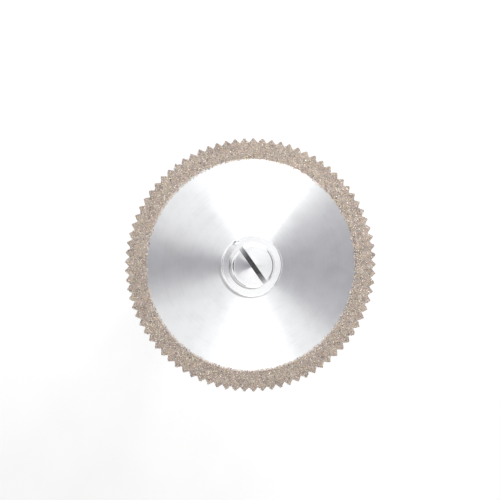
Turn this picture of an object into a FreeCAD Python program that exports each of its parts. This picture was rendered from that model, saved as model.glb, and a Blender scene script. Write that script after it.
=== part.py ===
"""Double-sided diamond disc on a straight handpiece mandrel, in millimetres.

A toothed steel blank carries a plated diamond band on both faces and over its teeth.
A slotted screw clamps the blank between a washer and the mandrel's collar.
The origin is the centre of the shank's free end, and +Z runs along the shank to the disc.
"""
import os
from math import atan2, cos, pi, radians, sin, tan

import FreeCAD, Part
from FreeCAD import Vector

# Disc: the blank and its diamond band
disc_diameter = 22.0        # over the plated tooth tips
tooth_count = 85
tooth_depth = 0.38          # plated tip to plated root, along the radius
tooth_land = 0.06           # blunt end of each plated tooth
root_land = 0.03            # flat floor of each gap
blank_thickness = 0.10
coat_thickness = 0.05       # of the diamond layer, on faces and tooth flanks alike
band_width = 1.70           # from the plated tips in to the band's edge
bore_clearance = 0.05       # of the blank and the washer around the screw, on the radius

# Washer under the screw head
washer_diameter = 5.45
washer_thickness = 0.32
washer_edge_radius = 0.16

# Slotted screw
thread_diameter = 2.0
thread_clearance = 0.02     # on the radius, in the tapped hole
thread_engagement = 3.2     # length of the screw inside the mandrel
screw_tip_chamfer = 0.25
head_diameter = 3.85
head_height = 0.85
head_edge_radius = 0.30
head_crown = 0.06           # rise of the domed top above its edge
slot_width = 0.40
slot_depth = 0.48
slot_angle = -54.8          # degrees from +X, as the screw happens to stand

# Mandrel
shank_diameter = 2.35       # standard straight handpiece shank
shank_length = 38.2
shank_end_chamfer = 0.25
neck_length = 2.6           # cone from the shank to the barrel
barrel_diameter = 3.6
barrel_length = 1.4
barrel_fillet_radius = 0.35  # between the barrel and the collar's back
collar_diameter = 5.0
collar_thickness = 1.0
collar_edge_chamfer = 0.2
tap_runout = 0.6            # hole depth beyond the screw's tip
drill_point_angle = 118.0   # full angle of the hole's end
mouth_chamfer = 0.15        # countersink at the tapped hole's mouth

# Heights of the seats along the shank
collar_face_z = shank_length + neck_length + barrel_length + collar_thickness
washer_seat_z = collar_face_z + blank_thickness
head_seat_z = washer_seat_z + washer_thickness

# Radii that several pieces share
tip_radius = disc_diameter / 2
band_inner_radius = tip_radius - band_width
hole_radius = thread_diameter / 2
screw_radius = hole_radius - thread_clearance
bore_radius = hole_radius + bore_clearance

Z_AXIS = Vector(0, 0, 1)
ORIGIN = Vector(0, 0, 0)


def at(radius, z):
    """A point of a turned profile."""
    return Vector(radius, 0, z)


def line(start, end):
    return Part.LineSegment(start, end).toShape()


def arc(centre, radius, first, last):
    """An arc of a turned profile, between two angles in degrees above the outward radius."""
    def point(angle):
        return at(centre.x + radius * cos(radians(angle)), centre.z + radius * sin(radians(angle)))

    return Part.Arc(point(first), point((first + last) / 2), point(last)).toShape()


def path(points):
    """Straight edges from each point to the next."""
    return [line(start, end) for start, end in zip(points, points[1:])]


def turned(edges):
    """The solid that a closed profile beside the Z axis makes when it is turned about it."""
    return Part.Face(Part.Wire(edges)).revolve(ORIGIN, Z_AXIS, 360)


def disc_cylinder(radius, bottom_z, height):
    return Part.makeCylinder(radius, height, at(0, bottom_z))


def flank_run():
    """How far one tooth flank goes round the rim, as a length at the tips."""
    pitch = pi * disc_diameter / tooth_count
    return (pitch - tooth_land - root_land) / 2


def radial_cover():
    """How far the plated teeth stand out past the blank's, for an even coat on the flanks."""
    flank_half_angle = atan2(flank_run(), tooth_depth)
    return coat_thickness / sin(flank_half_angle)


def toothed_plate(outer_radius, bottom_z, height):
    """A plate with teeth all round: each is a blunt tip, a flank, a flat root and a flank."""
    root_radius = outer_radius - tooth_depth
    pitch_angle = 2 * pi / tooth_count
    tip_half_angle = tooth_land / disc_diameter
    flank_angle = 2 * flank_run() / disc_diameter
    tooth = (
        (outer_radius, -tip_half_angle),
        (outer_radius, tip_half_angle),
        (root_radius, tip_half_angle + flank_angle),
        (root_radius, pitch_angle - tip_half_angle - flank_angle),
    )
    corners = [
        Vector(radius * cos(number * pitch_angle + turn), radius * sin(number * pitch_angle + turn), bottom_z)
        for number in range(tooth_count)
        for radius, turn in tooth
    ]
    outline = Part.Wire(path(corners + corners[:1]))
    return Part.Face(outline).extrude(Z_AXIS * height)


def make_disc_blank():
    """The thin steel disc, toothed all round, with a plain hole for the screw."""
    plate = toothed_plate(tip_radius - radial_cover(), collar_face_z, blank_thickness)
    return plate.cut(disc_cylinder(bore_radius, collar_face_z, blank_thickness))


def make_diamond_band(blank):
    """The plated layer: it wraps the blank's rim on both faces and over every tooth."""
    bottom_z = collar_face_z - coat_thickness
    height = blank_thickness + 2 * coat_thickness
    rim = toothed_plate(tip_radius, bottom_z, height)
    return rim.cut(disc_cylinder(band_inner_radius, bottom_z, height)).cut(blank)


def make_washer():
    """A plain washer with its upper outer edge rounded over."""
    outer = washer_diameter / 2
    edge_centre = at(outer - washer_edge_radius, head_seat_z - washer_edge_radius)
    return turned([
        arc(edge_centre, washer_edge_radius, 0, 90),
        *path([
            at(edge_centre.x, head_seat_z),
            at(bore_radius, head_seat_z),
            at(bore_radius, washer_seat_z),
            at(outer, washer_seat_z),
            at(outer, edge_centre.z),
        ]),
    ])


def make_clamp_screw():
    """A cheese-head screw with a crowned top, a rounded edge and a driver slot."""
    head_radius = head_diameter / 2
    top_z = head_seat_z + head_height
    edge_centre = at(head_radius - head_edge_radius, top_z - head_crown - head_edge_radius)
    crown_radius = (edge_centre.x ** 2 + head_crown ** 2) / (2 * head_crown)
    crown_edge = 90 - atan2(edge_centre.x, crown_radius - head_crown) * 180 / pi
    tip_z = collar_face_z - thread_engagement
    body = turned([
        arc(edge_centre, head_edge_radius, 0, 90),
        arc(at(0, top_z - crown_radius), crown_radius, crown_edge, 90),
        *path([
            at(0, top_z),
            at(0, tip_z),
            at(screw_radius - screw_tip_chamfer, tip_z),
            at(screw_radius, tip_z + screw_tip_chamfer),
            at(screw_radius, head_seat_z),
            at(head_radius, head_seat_z),
            at(head_radius, edge_centre.z),
        ]),
    ])
    slot_corner = Vector(-head_radius, -slot_width / 2, top_z - slot_depth)
    slot = Part.makeBox(head_diameter, slot_width, slot_depth, slot_corner)
    slot.rotate(ORIGIN, Z_AXIS, slot_angle)
    return body.cut(slot)


def make_mandrel():
    """The shank, its cone and barrel, the collar that backs the disc, and the tapped hole."""
    shank_radius = shank_diameter / 2
    barrel_radius = barrel_diameter / 2
    collar_radius = collar_diameter / 2
    collar_back_z = collar_face_z - collar_thickness
    fillet_centre = at(barrel_radius + barrel_fillet_radius, collar_back_z - barrel_fillet_radius)
    body = turned([
        *path([
            at(0, 0),
            at(shank_radius - shank_end_chamfer, 0),
            at(shank_radius, shank_end_chamfer),
            at(shank_radius, shank_length),
            at(barrel_radius, shank_length + neck_length),
            at(barrel_radius, fillet_centre.z),
        ]),
        arc(fillet_centre, barrel_fillet_radius, 180, 90),
        *path([
            at(fillet_centre.x, collar_back_z),
            at(collar_radius - collar_edge_chamfer, collar_back_z),
            at(collar_radius, collar_back_z + collar_edge_chamfer),
            at(collar_radius, collar_face_z),
            at(0, collar_face_z),
            at(0, 0),
        ]),
    ])
    return body.cut(make_tapped_hole())


def make_tapped_hole():
    """The hole that the screw goes into, with a countersunk mouth and a drilled end."""
    floor_z = collar_face_z - thread_engagement - tap_runout
    point_depth = hole_radius / tan(radians(drill_point_angle / 2))
    return turned(path([
        at(0, floor_z - point_depth),
        at(hole_radius, floor_z),
        at(hole_radius, collar_face_z - mouth_chamfer),
        at(hole_radius + mouth_chamfer, collar_face_z),
        at(0, collar_face_z),
        at(0, floor_z - point_depth),
    ]))


def main():
    blank = make_disc_blank()
    pieces = {
        "disc_blank": blank,
        "diamond_band": make_diamond_band(blank),
        "hub_washer": make_washer(),
        "clamp_screw": make_clamp_screw(),
        "mandrel": make_mandrel(),
    }
    os.makedirs("parts", exist_ok=True)
    for name, shape in pieces.items():
        if not shape.isValid() or len(shape.Solids) != 1:
            raise ValueError(f"{name} is not one valid solid")
        shape.Solids[0].exportStep(f"parts/{name}.step")
        print(f"{name}: {shape.Volume:.3f} mm3, {len(shape.Faces)} faces")


main()
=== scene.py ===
"""Looks of a double-sided diamond disc on its mandrel, in metres, in the frame of its solids.

+Z runs from the shank's free end to the disc, and +Y is up in the main view.
"""

from collections import namedtuple
from math import cos, exp, hypot, pi, radians, sin, sqrt
from random import Random

import bmesh
import bpy
import numpy as np
from mathutils import Euler, Matrix, Vector


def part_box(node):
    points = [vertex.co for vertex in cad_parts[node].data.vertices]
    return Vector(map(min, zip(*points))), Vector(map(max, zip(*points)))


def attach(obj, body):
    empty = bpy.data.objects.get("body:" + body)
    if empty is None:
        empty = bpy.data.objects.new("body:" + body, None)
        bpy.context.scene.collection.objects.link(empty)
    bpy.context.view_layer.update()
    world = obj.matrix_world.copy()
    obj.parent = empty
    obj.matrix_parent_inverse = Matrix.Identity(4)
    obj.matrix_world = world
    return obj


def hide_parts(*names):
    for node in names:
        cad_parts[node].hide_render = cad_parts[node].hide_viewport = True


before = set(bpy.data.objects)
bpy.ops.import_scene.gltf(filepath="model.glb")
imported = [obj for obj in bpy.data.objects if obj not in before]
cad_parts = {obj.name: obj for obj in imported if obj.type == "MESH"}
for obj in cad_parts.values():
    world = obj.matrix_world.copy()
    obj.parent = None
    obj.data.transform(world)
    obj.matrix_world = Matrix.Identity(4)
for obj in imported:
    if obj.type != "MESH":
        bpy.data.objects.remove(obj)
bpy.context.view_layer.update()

MM = 0.001
BODY = "root"

# Places and sizes read from the frame
band_low, band_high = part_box("diamond_band")
blank_low, blank_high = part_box("disc_blank")
washer_low, washer_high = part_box("hub_washer")
screw_low, screw_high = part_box("clamp_screw")
tip_radius = band_high.x
washer_radius = washer_high.x
head_radius = screw_high.x
head_seat_z = washer_high.z
disc_centre = Vector((0, 0, blank_high.z))

# Rim sizes
tooth_count = 85
tooth_depth = 0.38 * MM
tooth_land = 0.06 * MM
root_land = 0.03 * MM
band_width = 1.70 * MM
band_inner_radius = tip_radius - band_width
root_radius = tip_radius - tooth_depth
pitch_angle = 2 * pi / tooth_count

# Washer sizes
bore_radius = 1.05 * MM
washer_edge_radius = 0.16 * MM
bore_break = 0.04 * MM               # broken edge round the bore
back_break = 0.03 * MM               # broken edge at the back of the washer and of the screw head
nick_angle = radians(122.5)
nick_radius = 2.46 * MM
nick_length = 0.17 * MM              # round the washer
nick_breadth = nick_length / 1.4     # along the radius
nick_depth = 0.05 * MM

# Screw sizes
head_height = 0.85 * MM
head_edge_radius = 0.30 * MM
head_crown = 0.06 * MM
head_top_z = head_seat_z + head_height
crown_rim_radius = head_radius - head_edge_radius
slot_width = 0.40 * MM
slot_depth = 0.48 * MM
slot_lip = 0.02 * MM
slot_angle = radians(-54.8)
thread_radius = 0.98 * MM
thread_pitch = 0.40 * MM
thread_groove = 0.12 * MM
thread_core = 0.30 * MM              # no part of the thread comes closer to the axis
thread_top_z = head_seat_z - 0.35 * MM
screw_tip_chamfer = 0.25 * MM

# Grit
grain_seed = 22
grain_shapes = 24
grain_corners = 9
grain_sizes = (0.10 * MM, 0.18 * MM)
face_grains = 7200
face_tries = 6 * face_grains
face_edge_inset = 0.02 * MM          # of the grains' centres from the band's faces and tips
edge_grains = 2200
edge_grain_share = 0.75              # size of a flank's grains against those on the faces
grain_spacing = 0.085 * MM
stray_reach = 0.24 * MM              # how far stray grains lie inside the band's edge
stray_spacing = 0.7 * grain_spacing

# Camera
picture_side = 500
picture_scale = 11.52 / MM           # pixels a metre, at the disc
disc_centre_column = 251.3
disc_centre_row = 265.2
camera_tilt = radians(9.4)
camera_side = radians(163)           # direction that the camera leans to, from +X
lens = 200
sensor = 36

# Studio
floor_side = 6.0
floor_glow = 0.36                    # what the floor adds to its own brightness where it is seen
fill_strength = 0.44                 # of the white room, as a source of light
card_height = 0.30                   # of the overhead cards above the disc
side_card_distance = 0.30
side_card_height = 0.11

# Sockets of a mix node that mixes colours, which share their names with those of other types
MIX_FIRST, MIX_SECOND, MIX_RESULT = 6, 7, 2

# A ring of painted shadow: its middle radius, its width, and the direction that it is darkest in
PaintedShadow = namedtuple("PaintedShadow", "radius width direction")


# Node trees
def add_node(tree, kind, inputs=(), **settings):
    """A new node: its settings, and its inputs as values or as the sockets that feed them."""
    made = tree.nodes.new(kind)
    for key, value in settings.items():
        setattr(made, key, value)
    for key, value in dict(inputs).items():
        if isinstance(value, bpy.types.NodeSocket):
            tree.links.new(value, made.inputs[key])
        else:
            made.inputs[key].default_value = value
    return made


def maths(tree, operation, *values):
    return add_node(tree, "ShaderNodeMath", dict(enumerate(values)), operation=operation).outputs[0]


def weighted_sum(tree, *parts):
    """The sum of sockets, each given as (socket, weight)."""
    total = 0.0
    for socket, weight in parts:
        total = maths(tree, "MULTIPLY_ADD", socket, weight, total)
    return total


def vectors(tree, operation, first, second=(0, 0, 0)):
    return add_node(tree, "ShaderNodeVectorMath", {0: first, 1: second}, operation=operation).outputs[0]


def scaled(tree, vector, scale):
    inputs = {0: vector, "Scale": scale}
    return add_node(tree, "ShaderNodeVectorMath", inputs, operation="SCALE").outputs[0]


def length(tree, vector):
    return add_node(tree, "ShaderNodeVectorMath", {0: vector}, operation="LENGTH").outputs["Value"]


def noise(tree, vector, size, detail=2.0, roughness=0.5):
    """Noise whose broadest features are about the given size."""
    inputs = {"Vector": vector, "Scale": 1 / size, "Detail": detail, "Roughness": roughness}
    return add_node(tree, "ShaderNodeTexNoise", inputs).outputs[0]


def ramp(tree, factor, *stops):
    """A colour ramp through stops of (place, colour)."""
    made = add_node(tree, "ShaderNodeValToRGB", {"Fac": factor})
    elements = made.color_ramp.elements
    while len(elements) < len(stops):
        elements.new(0.5)
    for element, (place, colour) in zip(elements, stops):
        element.position = place
        element.color = (*colour, 1)
    return made.outputs[0]


def spread(tree, factor, low, high):
    """A factor of 0 to 1 stretched from low to high."""
    inputs = {"Value": factor, "To Min": low, "To Max": high}
    return add_node(tree, "ShaderNodeMapRange", inputs).outputs[0]


def share_between(tree, value, start, end, **settings):
    """0 up to the start, 1 past the end, and rising between them."""
    inputs = {"Value": value, "From Min": start, "From Max": end}
    return add_node(tree, "ShaderNodeMapRange", inputs, **settings).outputs[0]


def blend(tree, share, first, second):
    """A colour socket mixed with a fixed colour, by the second's share."""
    inputs = {"Factor": share, MIX_FIRST: first, MIX_SECOND: (*second, 1)}
    return add_node(tree, "ShaderNodeMix", inputs, data_type="RGBA").outputs[MIX_RESULT]


def shaded_point(tree):
    """The point being shaded: the point itself, its height, and its vector from the Z axis."""
    place = add_node(tree, "ShaderNodeTexCoord").outputs["Object"]
    axes = add_node(tree, "ShaderNodeSeparateXYZ", {0: place}).outputs
    from_axis = add_node(tree, "ShaderNodeCombineXYZ", {"X": axes["X"], "Y": axes["Y"]}).outputs[0]
    return place, axes["Z"], from_axis


def new_material(name):
    made = bpy.data.materials.new(name)
    made.use_nodes = True
    made.node_tree.nodes.clear()
    return made, made.node_tree


def finish_material(tree, shader):
    add_node(tree, "ShaderNodeOutputMaterial", {"Surface": shader.outputs[0]})


# Materials
def turned_steel(name, colour, roughness, anisotropy, groove_lean, groove_depth, painted_shade=None, overspill=None):
    """Steel finished in circles about the Z axis: grooves, long highlights across them, light wear.

    groove_lean is the slope by which the flanks of the turning grooves face outward.
    A ring of painted shadow, if given, darkens the steel on one side; overspill gives the two radii between
    which a film of the coating sets in.
    """
    groove_pitch = 0.04 * MM
    band_pitch = 14 * groove_pitch
    wear_size = 1.6 * MM
    speckle_size = 0.12 * MM
    roughness_play = 0.035
    light = tuple(1.04 * part for part in colour)
    dark = tuple(0.93 * part for part in colour)
    painted_shadow_colour = (0.30, 0.29, 0.28)
    film_colour = (0.62, 0.52, 0.45)

    material, tree = new_material(name)
    place, height, from_axis = shaded_point(tree)
    radius = length(tree, from_axis)
    outward = vectors(tree, "NORMALIZE", from_axis)
    around = vectors(tree, "CROSS_PRODUCT", (0, 0, 1), outward)
    facing = add_node(tree, "ShaderNodeNewGeometry").outputs["Normal"]
    leaned = vectors(tree, "NORMALIZE", vectors(tree, "ADD", facing, scaled(tree, outward, groove_lean)))
    across = vectors(tree, "NORMALIZE", vectors(tree, "CROSS_PRODUCT", around, leaned))

    profile = add_node(tree, "ShaderNodeCombineXYZ", {"X": radius, "Y": height}).outputs[0]
    grooves = noise(tree, profile, groove_pitch, detail=3.0, roughness=0.6)
    bands = noise(tree, profile, band_pitch)
    wear = noise(tree, place, wear_size, detail=5.0, roughness=0.62)
    speckle = noise(tree, place, speckle_size, detail=3.0)
    bump_inputs = {"Height": grooves, "Distance": groove_depth, "Strength": 1.0, "Normal": leaned}
    bump = add_node(tree, "ShaderNodeBump", bump_inputs).outputs[0]

    tone = weighted_sum(tree, (grooves, 0.35), (wear, 0.65))
    polish = weighted_sum(tree, (bands, 0.5), (speckle, 0.5))
    finish = ramp(tree, tone, (0.30, dark), (0.55, light))
    # Painted shadow: a dark ring, darkest in its own direction, away from the key light.
    if painted_shade:
        finish = blend(tree, painted_shadow_share(tree, outward, radius, wear, painted_shade), finish, painted_shadow_colour)
    if overspill:
        finish = blend(tree, film_share(tree, radius, speckle, *overspill), finish, film_colour)
    shader = add_node(tree, "ShaderNodeBsdfPrincipled", {
        "Base Color": finish,
        "Metallic": 1.0,
        "Roughness": spread(tree, polish, roughness - roughness_play, roughness + roughness_play),
        "Anisotropic": anisotropy,
        "Normal": bump,
        "Tangent": across,
    })
    finish_material(tree, shader)
    return material


def film_share(tree, radius, patches, start, end):
    """How much of a thin film covers the steel: none at the start, and patchily most at the end."""
    rise = share_between(tree, radius, start, end, interpolation_type="SMOOTHSTEP")
    return maths(tree, "MULTIPLY", rise, spread(tree, patches, 0.45, 1.15))


def painted_shadow_share(tree, outward, radius, patches, painted_shade):
    """How much painted shadow darkens the steel: most at the ring's middle, and in its own direction."""
    off_middle = maths(tree, "DIVIDE", maths(tree, "SUBTRACT", radius, painted_shade.radius), painted_shade.width / 2)
    fall = maths(tree, "SUBTRACT", 1.0, maths(tree, "MULTIPLY", off_middle, off_middle))
    across = maths(tree, "MAXIMUM", fall, 0.0)
    thickest = (cos(painted_shade.direction), sin(painted_shade.direction), 0)
    inputs = {0: outward, 1: thickest}
    aligned = add_node(tree, "ShaderNodeVectorMath", inputs, operation="DOT_PRODUCT").outputs["Value"]
    along = share_between(tree, aligned, 0.40, 0.90)
    return maths(tree, "MULTIPLY", maths(tree, "MULTIPLY", across, along), spread(tree, patches, 0.35, 1.0))


def plated_bond():
    """The metal layer between the grains: dull, beige-grey and lumpy."""
    lump_size = 0.09 * MM
    lump_depth = 0.03 * MM
    patch_size = 0.7 * MM
    material, tree = new_material("plated_bond")
    place = shaded_point(tree)[0]
    lumps = noise(tree, place, lump_size, detail=4.0, roughness=0.6)
    patches = noise(tree, place, patch_size, detail=3.0)
    bump_inputs = {"Height": lumps, "Distance": lump_depth, "Strength": 1.0}
    shader = add_node(tree, "ShaderNodeBsdfPrincipled", {
        "Base Color": ramp(
            tree, weighted_sum(tree, (lumps, 0.6), (patches, 0.4)),
            (0.32, (0.26, 0.21, 0.17)),
            (0.50, (0.48, 0.40, 0.34)),
            (0.68, (0.66, 0.57, 0.49)),
        ),
        "Metallic": 0.35,
        "Roughness": spread(tree, lumps, 0.45, 0.75),
        "Normal": add_node(tree, "ShaderNodeBump", bump_inputs).outputs[0],
    })
    finish_material(tree, shader)
    return material


def diamond_grains():
    """Crushed crystals: each has its own tint from grey through beige to pink and straw."""
    cloud_size = 0.45 * MM
    material, tree = new_material("diamond_grains")
    grain = add_node(tree, "ShaderNodeAttribute", attribute_name="grain").outputs["Fac"]
    clouds = noise(tree, shaded_point(tree)[0], cloud_size)
    shader = add_node(tree, "ShaderNodeBsdfPrincipled", {
        "Base Color": ramp(
            tree, weighted_sum(tree, (grain, 0.75), (clouds, 0.35)),
            (0.12, (0.10, 0.10, 0.10)),
            (0.26, (0.34, 0.30, 0.30)),
            (0.36, (0.70, 0.50, 0.46)),
            (0.48, (0.60, 0.60, 0.60)),
            (0.58, (0.76, 0.68, 0.42)),
            (0.70, (0.92, 0.68, 0.64)),
            (0.82, (0.88, 0.80, 0.62)),
            (0.95, (1.00, 0.97, 0.92)),
        ),
        "Roughness": 0.35,
        "IOR": 2.0,
    })
    finish_material(tree, shader)
    return material


def slot_steel_painted_shade():
    """The milled slot: dull steel, with painted shade darkening it towards its floor, painted light at its
    open ends and random mottling.
    """
    painted_shade_size = 0.12 * MM
    material, tree = new_material("slot_steel_painted_shade")
    place, height, from_axis = shaded_point(tree)
    # Painted shade deepens towards the slot's floor, and painted light brightens its open ends.
    rise = share_between(tree, height, screw_high.z - slot_depth, screw_high.z)
    painted_shade = noise(tree, place, painted_shade_size, detail=4.0, roughness=0.7)
    from_middle = maths(tree, "DIVIDE", length(tree, from_axis), head_radius)
    painted_light_at_ends = maths(tree, "POWER", from_middle, 3.0)
    tone = weighted_sum(tree, (rise, 0.3), (painted_shade, 0.5), (painted_light_at_ends, 0.5))
    shader = add_node(tree, "ShaderNodeBsdfPrincipled", {
        "Base Color": ramp(tree, tone, (0.20, (0.05, 0.05, 0.05)), (0.75, (0.90, 0.90, 0.91))),
        "Metallic": 0.7,
        "Roughness": spread(tree, painted_shade, 0.45, 0.7),
    })
    finish_material(tree, shader)
    return material


# Meshes
def new_object(name, vertices, faces, materials):
    mesh = bpy.data.meshes.new(name)
    mesh.from_pydata(vertices, [], faces)
    mesh.update()
    for material in materials:
        mesh.materials.append(material)
    made = bpy.data.objects.new(name, mesh)
    bpy.context.scene.collection.objects.link(made)
    return made


def smooth(piece):
    """Shades a piece smooth, apart from its sharp edges."""
    piece.data.shade_smooth()
    piece.data.set_sharp_from_angle(angle=radians(35))


def arc_points(centre, radius, first, last, count):
    """Points (radius, height) of a profile's arc, between two angles above the outward radius."""
    angles = [radians(first + (last - first) * step / count) for step in range(count + 1)]
    return [(centre[0] + radius * cos(angle), centre[1] + radius * sin(angle)) for angle in angles]


def line_points(start, end, count):
    """Points of a profile's line, without its last."""
    return [
        tuple(a + (b - a) * step / count for a, b in zip(start, end))
        for step in range(count)
    ]


def turned_mesh(profile, segments, closed, shift):
    """Vertices and faces of a profile turned about Z. An open profile starts and ends on the axis.

    shift(radius, height, angle) gives the point's own radius and height at that angle.
    """
    rows = profile if closed else profile[1:-1]
    vertices = []
    for radius, height in rows:
        for step in range(segments):
            angle = 2 * pi * step / segments
            r, z = shift(radius, height, angle)
            vertices.append((r * cos(angle), r * sin(angle), z))
    faces = []
    pairs = list(zip(range(len(rows)), range(1, len(rows))))
    if closed:
        pairs.append((len(rows) - 1, 0))
    for first, second in pairs:
        for step in range(segments):
            following = (step + 1) % segments
            faces.append((
                first * segments + step, second * segments + step,
                second * segments + following, first * segments + following,
            ))
    if not closed:
        vertices += [(0, 0, profile[0][1]), (0, 0, profile[-1][1])]
        start, end = len(vertices) - 2, len(vertices) - 1
        last_row = (len(rows) - 1) * segments
        for step in range(segments):
            following = (step + 1) % segments
            faces.append((start, step, following))
            faces.append((end, last_row + following, last_row + step))
    return vertices, faces


# Hub pieces
def nicked(radius, height, angle):
    """Lowers the washer's top where it has its nick."""
    if height < washer_high.z - washer_edge_radius:
        return radius, height
    round_washer = radius * sin(angle - nick_angle)
    along_radius = radius * cos(angle - nick_angle) - nick_radius
    fall = exp(-(round_washer / nick_length) ** 2 - (along_radius / nick_breadth) ** 2)
    return radius, height - nick_depth * fall


def make_washer(steel):
    """The washer, with a rounded outer edge, broken bore and back edges and one shallow nick."""
    low, high = washer_low.z, washer_high.z
    edge_centre = (washer_radius - washer_edge_radius, high - washer_edge_radius)
    profile = [
        *line_points((bore_radius + bore_break, high), (edge_centre[0], high), 28),
        *reversed(arc_points(edge_centre, washer_edge_radius, 0, 90, 10)),
        *line_points((washer_radius, low + back_break), (washer_radius - back_break, low), 2),
        *line_points((washer_radius - back_break, low), (bore_radius, low), 6),
        *line_points((bore_radius, low), (bore_radius, high - bore_break), 4),
        (bore_radius, high - bore_break),
    ]
    vertices, faces = turned_mesh(profile, 288, closed=True, shift=nicked)
    washer = new_object("washer_turned", vertices, faces, [steel])
    smooth(washer)
    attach(washer, BODY)
    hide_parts("hub_washer")


def crown_height(radius):
    """Height of the head's top at a radius: a shallow dome, then the rounded edge."""
    crown_radius = (crown_rim_radius ** 2 + head_crown ** 2) / (2 * head_crown)
    if radius <= crown_rim_radius:
        return head_top_z - crown_radius + sqrt(crown_radius ** 2 - radius ** 2)
    past = min(radius - crown_rim_radius, head_edge_radius)
    return head_top_z - head_crown - head_edge_radius + sqrt(head_edge_radius ** 2 - past ** 2)


def threaded(radius, height, angle):
    """Cuts the thread's groove, which runs out below the head, into the plain screw."""
    on_head = radius > thread_radius + 1e-9
    if height > thread_top_z or on_head:
        return radius, height
    turn = (height / thread_pitch - angle / (2 * pi)) % 1
    groove = thread_groove * (1 - abs(2 * turn - 1))
    run_out = min(1, (thread_top_z - height) / thread_pitch)
    return max(radius - groove * run_out, thread_core), height


def make_screw(steel, slot_painted_shade):
    """The slotted screw, with its thread cut as a helix."""
    tip_z = screw_low.z
    chamfer_z = tip_z + screw_tip_chamfer
    tip_end_radius = thread_radius - screw_tip_chamfer
    crown_steps = 24
    crown_radii = [crown_rim_radius * step / crown_steps for step in range(crown_steps)]
    edge_centre = (crown_rim_radius, head_top_z - head_crown - head_edge_radius)
    side_top_z = edge_centre[1] - 0.01 * MM
    side_foot = (head_radius, head_seat_z + back_break)
    profile = [
        *[(radius, crown_height(radius)) for radius in crown_radii],
        *reversed(arc_points(edge_centre, head_edge_radius, 0, 90, 14)),
        *line_points((head_radius, side_top_z), side_foot, 3),
        side_foot,
        *line_points((head_radius - back_break, head_seat_z), (thread_radius, head_seat_z), 6),
        *line_points((thread_radius, head_seat_z), (thread_radius, thread_top_z), 2),
        *line_points((thread_radius, thread_top_z), (thread_radius, chamfer_z), 120),
        *line_points((thread_radius, chamfer_z), (tip_end_radius, tip_z), 4),
        (tip_end_radius, tip_z),
        (0, tip_z),
    ]
    vertices, faces = turned_mesh(profile, 192, closed=False, shift=threaded)
    screw = new_object("screw_turned", vertices, faces, [steel, slot_painted_shade])
    cut_slot(screw)
    smooth(screw)
    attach(screw, BODY)
    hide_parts("clamp_screw")


def slot_section(along):
    """Corners (across, height) of the slot cutter at one place along the slot."""
    half = slot_width / 2
    flare = half + slot_lip
    floor_z = head_top_z - slot_depth
    clear_z = head_top_z + 0.2 * MM
    surface_z = crown_height(min(hypot(along, half), head_radius))
    return (
        (-flare, clear_z),
        (-flare, surface_z),
        (-half, surface_z - slot_lip),
        (-half, floor_z),
        (half, floor_z),
        (half, surface_z - slot_lip),
        (flare, surface_z),
        (flare, clear_z),
    )


def cut_slot(screw):
    """Cuts the driver slot, its lips broken by a narrow chamfer that follows the head's crown."""
    reach = head_radius + 0.4 * MM
    stations = 72
    section_count = len(slot_section(0))
    vertices = []
    for station in range(stations + 1):
        along = -reach + 2 * reach * station / stations
        for across, height in slot_section(along):
            vertices.append((
                along * cos(slot_angle) - across * sin(slot_angle),
                along * sin(slot_angle) + across * cos(slot_angle),
                height,
            ))
    faces = [tuple(reversed(range(section_count)))]
    faces.append(tuple(range(stations * section_count, (stations + 1) * section_count)))
    for station in range(stations):
        here = station * section_count
        following = here + section_count
        for corner in range(section_count):
            beside = (corner + 1) % section_count
            faces.append((here + corner, here + beside, following + beside, following + corner))
    cutter = new_object("slot_cutter", vertices, faces, list(screw.data.materials))
    for polygon in cutter.data.polygons:
        polygon.material_index = 1
    cut = screw.modifiers.new("slot", "BOOLEAN")
    cut.operation = "DIFFERENCE"
    cut.solver = "EXACT"
    cut.object = cutter
    depsgraph = bpy.context.evaluated_depsgraph_get()
    result = bpy.data.meshes.new_from_object(screw.evaluated_get(depsgraph))
    screw.modifiers.clear()
    screw.data = result
    bpy.data.objects.remove(cutter)


# Grit
def grain_meshes(rng):
    """A few irregular convex crystals of about unit diameter, as arrays of vertices and triangles."""
    shapes = []
    for _ in range(grain_shapes):
        mesh = bmesh.new()
        for _ in range(grain_corners):
            direction = Vector((rng.gauss(0, 1), rng.gauss(0, 1), rng.gauss(0, 1))).normalized()
            mesh.verts.new(direction * rng.uniform(0.42, 0.56))
        bmesh.ops.convex_hull(mesh, input=mesh.verts)
        bmesh.ops.delete(mesh, geom=[v for v in mesh.verts if not v.link_faces], context="VERTS")
        bmesh.ops.triangulate(mesh, faces=mesh.faces)
        bmesh.ops.recalc_face_normals(mesh, faces=mesh.faces)
        mesh.verts.index_update()
        vertices = np.array([v.co for v in mesh.verts])
        faces = np.array([[v.index for v in face.verts] for face in mesh.faces])
        shapes.append((vertices, faces))
        mesh.free()
    return shapes


def grit_object(name, places, shapes, rng, material, tint_range=(0, 1)):
    """One mesh of many crystals, each (centre, diameter), turned and tinted at random."""
    vertices, faces, tints, count = [], [], [], 0
    for centre, diameter in places:
        points, triangles = rng.choice(shapes)
        turn = Euler([rng.uniform(0, 2 * pi) for _ in range(3)]).to_matrix()
        vertices.append(points @ np.array(turn).T * diameter + np.array(centre))
        faces.append(triangles + count)
        tints.append(np.full(len(points), rng.uniform(*tint_range)))
        count += len(points)
    made = new_object(name, np.concatenate(vertices).tolist(), np.concatenate(faces).tolist(), [material])
    attribute = made.data.attributes.new("grain", "FLOAT", "POINT")
    attribute.data.foreach_set("value", np.concatenate(tints).astype(np.float32))
    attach(made, BODY)


def flank_run():
    """How far one tooth flank goes round the rim, as a length at the tips."""
    return (pitch_angle * tip_radius - tooth_land - root_land) / 2


def on_tooth(radius, angle, inset):
    """Whether a point of the rim lies on a tooth, and clear of its edge by the inset."""
    if radius <= root_radius:
        return True
    from_middle = abs((angle + pitch_angle / 2) % pitch_angle - pitch_angle / 2) * radius
    share = (tip_radius - radius) / tooth_depth
    return from_middle <= tooth_land / 2 + flank_run() * share - inset


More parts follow.
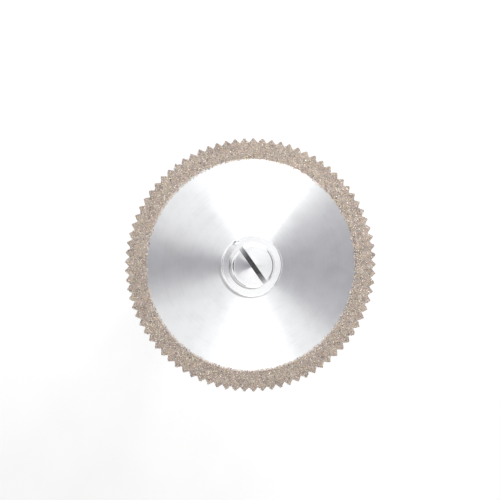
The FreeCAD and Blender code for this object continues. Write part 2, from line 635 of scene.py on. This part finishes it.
def face_places(rng, surface_z, blank_z, outward):
    """Spots for the grains of one face, none too close to another.

    They lie denser towards the band's inner edge, and a few stray past it onto the blank.
    """
    cell = grain_spacing / sqrt(2)
    taken = {}
    places = []
    inner_edge = band_inner_radius - stray_reach
    outer_edge = tip_radius - face_edge_inset
    for _ in range(face_tries):
        if len(places) >= face_grains:
            break
        radius = inner_edge + (outer_edge - inner_edge) * rng.random() ** 1.25
        angle = rng.uniform(0, 2 * pi)
        diameter = rng.uniform(*grain_sizes)
        if not on_tooth(radius, angle, 0.01 * MM):
            continue
        stray = (band_inner_radius - radius) / stray_reach
        if rng.random() < stray:
            continue
        x, y = radius * cos(angle), radius * sin(angle)
        column, row = int(x // cell), int(y // cell)
        near = [
            taken[column + i, row + j]
            for i in range(-2, 3)
            for j in range(-2, 3)
            if (column + i, row + j) in taken
        ]
        on_band = radius > band_inner_radius
        gap = grain_spacing if on_band else stray_spacing
        if any(hypot(x - other[0], y - other[1]) < gap for other in near):
            continue
        taken[column, row] = (x, y)
        base_z = surface_z if on_band else blank_z
        height = base_z + outward * diameter * rng.uniform(-0.18, 0.04)
        places.append(((x, y, height), diameter))
    return places


def edge_places(rng):
    """Spots for the grains on the teeth's flanks, tips and roots."""
    tip_half = tooth_land / 2 / tip_radius
    flank_angle = flank_run() / tip_radius
    corners = [
        (root_radius, -tip_half - flank_angle),
        (tip_radius, -tip_half),
        (tip_radius, tip_half),
        (root_radius, tip_half + flank_angle),
        (root_radius, pitch_angle - tip_half - flank_angle),
    ]
    points = [Vector((r * cos(a), r * sin(a))) for r, a in corners]
    lengths = [(b - a).length for a, b in zip(points, points[1:])]
    places = []
    for _ in range(edge_grains):
        stretch = rng.choices(range(len(lengths)), weights=lengths)[0]
        point = points[stretch].lerp(points[stretch + 1], rng.random())
        tooth = rng.randrange(tooth_count)
        diameter = rng.uniform(*grain_sizes) * edge_grain_share
        inward = 1 - diameter * rng.uniform(0.05, 0.35) / point.length
        point = Matrix.Rotation(tooth * pitch_angle, 2) @ point * inward
        height = rng.uniform(band_low.z + face_edge_inset, band_high.z - face_edge_inset)
        places.append(((point.x, point.y, height), diameter))
    return places


def make_grit():
    rng = Random(grain_seed)
    shapes = grain_meshes(rng)
    material = diamond_grains()
    grit_object("front_grit", face_places(rng, band_high.z, blank_high.z, 1), shapes, rng, material)
    grit_object("back_grit", face_places(rng, band_low.z, blank_low.z, -1), shapes, rng, material)
    # The flank grains keep to the darker tints: painted shade on the teeth's flanks.
    grit_object("rim_grit", edge_places(rng), shapes, rng, material, tint_range=(0, 0.45))


# Studio
def make_camera():
    """A long lens above the disc, leaning a little to one side, that puts the disc where it belongs."""
    scene = bpy.context.scene
    data = bpy.data.cameras.new("camera")
    data.lens = lens
    data.sensor_width = sensor
    data.clip_start = 0.01
    camera = bpy.data.objects.new("camera", data)
    scene.collection.objects.link(camera)
    distance = picture_side / picture_scale * lens / sensor
    toward = Vector((
        sin(camera_tilt) * cos(camera_side),
        sin(camera_tilt) * sin(camera_side),
        cos(camera_tilt),
    ))
    right = Vector((0, 1, 0)).cross(toward).normalized()
    up = toward.cross(right)
    raised = (disc_centre_row - picture_side / 2) / picture_scale
    aside = (disc_centre_column - picture_side / 2) / picture_scale
    centre = disc_centre + up * raised - right * aside + toward * distance
    turn = Matrix((right, up, toward)).transposed().to_4x4()
    camera.matrix_world = Matrix.Translation(centre) @ turn
    scene.camera = camera


def seen_directly(tree):
    """1 on rays from the camera, in reflections and through glass, and 0 on the light that falls."""
    rays = add_node(tree, "ShaderNodeLightPath").outputs
    mirrored = maths(tree, "MAXIMUM", rays["Is Glossy Ray"], rays["Is Transmission Ray"])
    return maths(tree, "MAXIMUM", rays["Is Camera Ray"], mirrored)


def make_world():
    """A room that looks white and gives off less light than that."""
    world = bpy.data.worlds.new("white_room")
    world.use_nodes = True
    tree = world.node_tree
    tree.nodes.clear()
    strength = spread(tree, seen_directly(tree), fill_strength, 1.0)
    background = add_node(tree, "ShaderNodeBackground", {"Color": (1, 1, 1, 1), "Strength": strength})
    add_node(tree, "ShaderNodeOutputWorld", {"Surface": background.outputs[0]})
    bpy.context.scene.world = world


def make_floor():
    """A white floor that takes the object's shadow and glows a little where it is seen."""
    reach = floor_side / 2
    grain_size = 4 * MM
    material, tree = new_material("white_floor")
    grain = noise(tree, shaded_point(tree)[0], grain_size, detail=3.0)
    shader = add_node(tree, "ShaderNodeBsdfPrincipled", {
        "Base Color": ramp(tree, grain, (0.3, (0.90, 0.90, 0.90)), (0.7, (0.93, 0.93, 0.93))),
        "Roughness": 0.9,
        "Specular IOR Level": 0.1,
        "Emission Color": (1, 1, 1, 1),
        "Emission Strength": maths(tree, "MULTIPLY", seen_directly(tree), floor_glow),
    })
    finish_material(tree, shader)
    corners = [(-reach, -reach, 0), (reach, -reach, 0), (reach, reach, 0), (-reach, reach, 0)]
    floor = new_object("floor", corners, [(0, 1, 2, 3)], [material])


def make_flag(name, colour, corners):
    """A dark card that only shows as a dark patch in polished metal."""
    material, tree = new_material(name)
    shader = add_node(tree, "ShaderNodeEmission", {"Color": (*colour, 1), "Strength": 1.0})
    finish_material(tree, shader)
    card = new_object(name, corners, [tuple(range(len(corners)))], [material])
    card.visible_camera = False
    card.visible_diffuse = False
    card.visible_shadow = False
    card.visible_transmission = False


def overhead(*slopes):
    """Corners of a card above the disc, each by its slope from the disc to +X and +Y."""
    return [disc_centre + Vector((x, y, 1)) * card_height for x, y in slopes]


def make_overhead_flags():
    """The cards that draw a dark sector on either side of the brushed disc."""
    make_flag("right_flag", (0.235, 0.225, 0.26), overhead(
        (0.18, -0.08), (0.18, -0.05), (0.42, 0.07), (0.80, 0.56),
        (1.6, 1.1), (1.6, -1.2), (0.80, -0.60), (0.42, -0.21),
    ))
    make_flag("left_flag", (0.04, 0.03, 0.06), overhead(
        (-0.13, -0.05), (-0.34, 0.18), (-1.6, 0.16), (-1.6, -0.28), (-0.34, -0.28),
    ))


def make_side_flag(name, direction, width, colour):
    """An upright card that stands on the floor, to one side of the shank."""
    middle = Vector((cos(direction), sin(direction), 0)) * side_card_distance
    aside = Vector((-sin(direction), cos(direction), 0)) * width / 2
    up = Vector((0, 0, side_card_height))
    make_flag(name, colour, [middle - aside, middle + aside, middle + aside + up, middle - aside + up])


def make_side_flags():
    """The cards that draw dark lines on upright and rounded steel."""
    dark = (0.02, 0.02, 0.02)
    grey = (0.15, 0.15, 0.15)
    make_side_flag("near_left_flag", radians(236), 0.26, dark)
    make_side_flag("near_right_flag", radians(322), 0.10, grey)
    make_side_flag("far_flag", radians(78), 0.08, grey)


def make_softbox(name, place, size, radiance):
    """A square area light that faces the disc and isn't seen by the camera."""
    data = bpy.data.lights.new(name, "AREA")
    data.size = size
    data.energy = radiance * pi * size ** 2
    lamp = bpy.data.objects.new(name, data)
    bpy.context.scene.collection.objects.link(lamp)
    lamp.location = place
    lamp.rotation_euler = (Vector(place) - disc_centre).to_track_quat("Z", "Y").to_euler()
    lamp.visible_camera = False


def make_lights():
    make_softbox("far_softbox", place=(0.012, 0.20, 0.26), size=0.16, radiance=1.65)
    make_softbox("near_softbox", place=(0.058, -0.24, 0.26), size=0.16, radiance=1.6)
    make_softbox("key", place=(0.026, 0.050, 0.092), size=0.03, radiance=8.0)


# The object
def dress(node, material):
    """Gives a solid of the frame its finish."""
    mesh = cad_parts[node].data
    mesh.materials.clear()
    mesh.materials.append(material)


def dress_solids():
    """Finishes the solids that stay in sight: the brushed blank, the mandrel and the band's metal."""
    overspill_reach = 0.26 * MM
    dress("disc_blank", turned_steel(
        "brushed_disc",
        colour=(0.872, 0.88, 0.893),
        roughness=0.33,
        anisotropy=0.89,
        groove_lean=0.16,
        groove_depth=0.0006 * MM,
        # Painted shadow of the washer on the disc, on the side away from the key light.
        painted_shade=PaintedShadow(radius=2.80 * MM, width=0.26 * MM, direction=radians(244)),
        overspill=(band_inner_radius - overspill_reach, band_inner_radius),
    ))
    dress("mandrel", turned_steel(
        "ground_mandrel",
        colour=(0.60, 0.60, 0.62),
        roughness=0.26,
        anisotropy=0.6,
        groove_lean=0.0,
        groove_depth=0.001 * MM,
    ))
    dress("diamond_band", plated_bond())


def make_hub():
    """The washer and the screw, in finer turned steel than the disc's."""
    make_washer(turned_steel(
        "turned_washer",
        colour=(0.95, 0.955, 0.965),
        roughness=0.13,
        anisotropy=0.80,
        groove_lean=-0.03,
        groove_depth=0.0008 * MM,
        # Painted shadow of the screw head on the washer, on the side away from the key light.
        painted_shade=PaintedShadow(radius=2.0 * MM, width=0.22 * MM, direction=radians(238)),
    ))
    screw_finish = turned_steel(
        "turned_screw",
        colour=(0.935, 0.94, 0.95),
        roughness=0.18,
        anisotropy=0.82,
        groove_lean=-0.115,
        groove_depth=0.0008 * MM,
    )
    make_screw(screw_finish, slot_steel_painted_shade())


def main():
    bpy.context.scene.view_settings.view_transform = "Standard"
    make_camera()
    make_world()
    make_floor()
    make_overhead_flags()
    make_side_flags()
    make_lights()
    dress_solids()
    make_hub()
    make_grit()


main()
